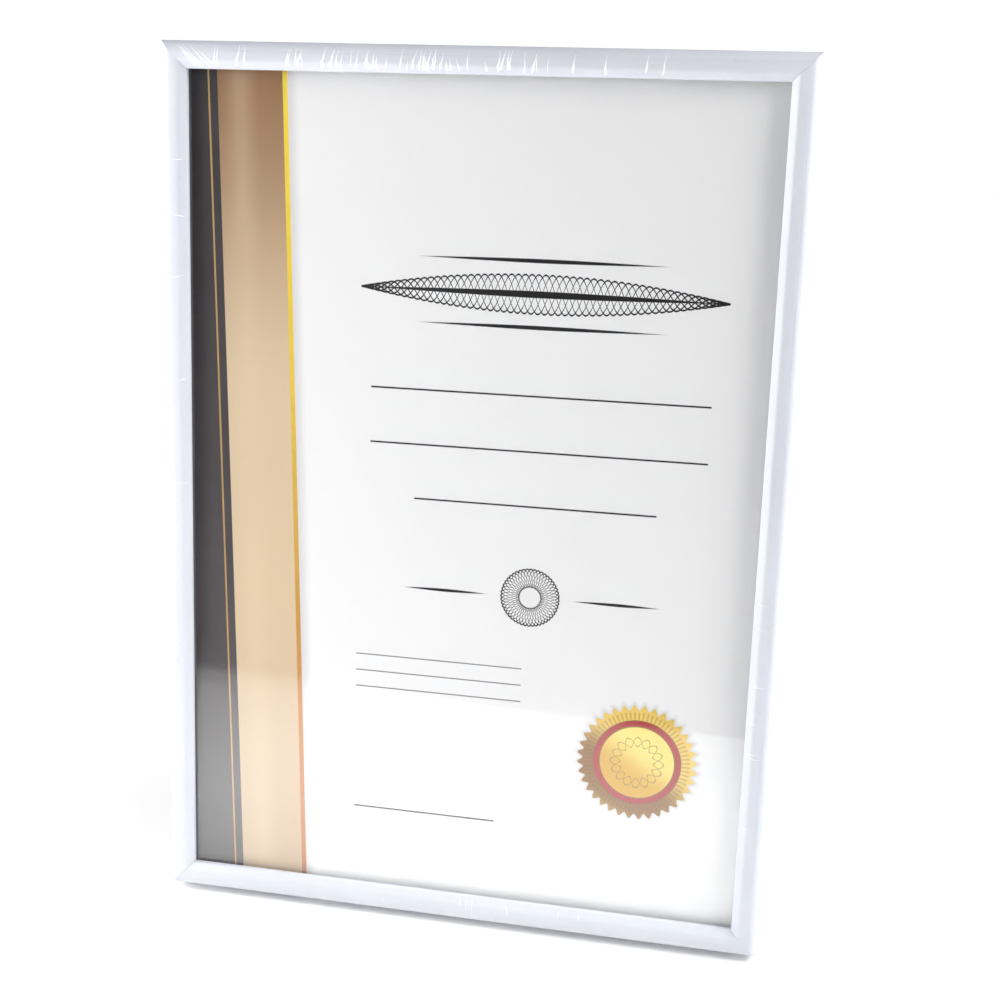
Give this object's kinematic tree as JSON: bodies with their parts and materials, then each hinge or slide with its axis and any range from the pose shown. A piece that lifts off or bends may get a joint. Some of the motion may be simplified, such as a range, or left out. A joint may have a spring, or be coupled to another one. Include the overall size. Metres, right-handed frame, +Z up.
{
  "type": "certificate frame",
  "caption": "White portrait frame for an A4 certificate: mitred moulding, glass, backing held by turn buttons, folding easel strut and hanging rings.",
  "frame": {"origin": "middle of the bounding box on the ground, between the bottom edge in front and the strut behind", "axes": "+X to the right seen from the front, -Y towards the viewer in front of the glass, +Z up; the frame leans back 13 degrees towards +Y"},
  "size_m": [0.217, 0.0822, 0.299],
  "materials": {
    "moulding": "satin white",
    "glass": "clear float glass",
    "certificate": null,
    "card": "grey board",
    "hardboard": "hardboard",
    "plated_steel": "zinc plated",
    "rivet_steel": "zinc plated",
    "ring_wire": "nickel plated"
  },
  "bodies": {
    "frame": {"rail_top": "moulding", "rail_bottom": "moulding", "stile_left": "moulding", "stile_right": "moulding", "corner_nails": "plated_steel", "glazing": "glass", "certificate_sheet": "certificate", "filler_card": "card", "back_board": "hardboard", "button_rivets": "rivet_steel", "hinge_board_leaf": "plated_steel", "hinge_pin": "plated_steel", "hinge_board_rivets": "rivet_steel", "hanger_strap_upright": "plated_steel", "hanger_strap_sideways": "plated_steel", "hanger_rivets": "rivet_steel"},
    "easel_strut": {"strut": "hardboard", "hinge_strut_leaf": "plated_steel", "hinge_strut_rivets": "rivet_steel"},
    "upright_ring": {"hanger_ring_upright": "ring_wire"},
    "sideways_ring": {"hanger_ring_sideways": "ring_wire"},
    "button_bottom_left": {"turn_button_bottom_left": "plated_steel"},
    "button_bottom_right": {"turn_button_bottom_right": "plated_steel"},
    "button_right_lower": {"turn_button_right_lower": "plated_steel"},
    "button_right_upper": {"turn_button_right_upper": "plated_steel"},
    "button_top_right": {"turn_button_top_right": "plated_steel"},
    "button_top_left": {"turn_button_top_left": "plated_steel"},
    "button_left_upper": {"turn_button_left_upper": "plated_steel"},
    "button_left_lower": {"turn_button_left_lower": "plated_steel"}
  },
  "joints": [
    {"name": "strut_fold", "type": "hinge", "parent": "frame", "child": "easel_strut", "pos_m": [0, 0.01764, 0.21029], "axis": [-1, 0, 0], "range_deg": [0, 18]},
    {"name": "upright_ring_swing", "type": "hinge", "parent": "frame", "child": "upright_ring", "pos_m": [0, 0.02763, 0.25622], "axis": [1, 0, 0], "range_deg": [-8, 165]},
    {"name": "sideways_ring_swing", "type": "hinge", "parent": "frame", "child": "sideways_ring", "pos_m": [0.084, 0.00288, 0.14904], "axis": [0, 0.225, 0.9744], "range_deg": [0, 168]},
    {"name": "button_bottom_left_turn", "type": "hinge", "parent": "frame", "child": "button_bottom_left", "pos_m": [-0.06, -0.02872, 0.01481], "axis": [0, -0.9744, 0.225], "range_deg": [-90, 90]},
    {"name": "button_bottom_right_turn", "type": "hinge", "parent": "frame", "child": "button_bottom_right", "pos_m": [0.06, -0.02872, 0.01481], "axis": [0, -0.9744, 0.225], "range_deg": [-90, 90]},
    {"name": "button_right_lower_turn", "type": "hinge", "parent": "frame", "child": "button_right_lower", "pos_m": [0.0944, -0.01502, 0.07415], "axis": [0, -0.9744, 0.225], "range_deg": [-90, 90]},
    {"name": "button_right_upper_turn", "type": "hinge", "parent": "frame", "child": "button_right_upper", "pos_m": [0.0944, 0.01962, 0.2242], "axis": [0, -0.9744, 0.225], "range_deg": [-90, 90]},
    {"name": "button_top_right_turn", "type": "hinge", "parent": "frame", "child": "button_top_right", "pos_m": [0.06, 0.03332, 0.28354], "axis": [0, -0.9744, 0.225], "range_deg": [-90, 90]},
    {"name": "button_top_left_turn", "type": "hinge", "parent": "frame", "child": "button_top_left", "pos_m": [-0.06, 0.03332, 0.28354], "axis": [0, -0.9744, 0.225], "range_deg": [-90, 90]},
    {"name": "button_left_upper_turn", "type": "hinge", "parent": "frame", "child": "button_left_upper", "pos_m": [-0.0944, 0.01962, 0.2242], "axis": [0, -0.9744, 0.225], "range_deg": [-90, 90]},
    {"name": "button_left_lower_turn", "type": "hinge", "parent": "frame", "child": "button_left_lower", "pos_m": [-0.0944, -0.01502, 0.07415], "axis": [0, -0.9744, 0.225], "range_deg": [-90, 90]}
  ]
}
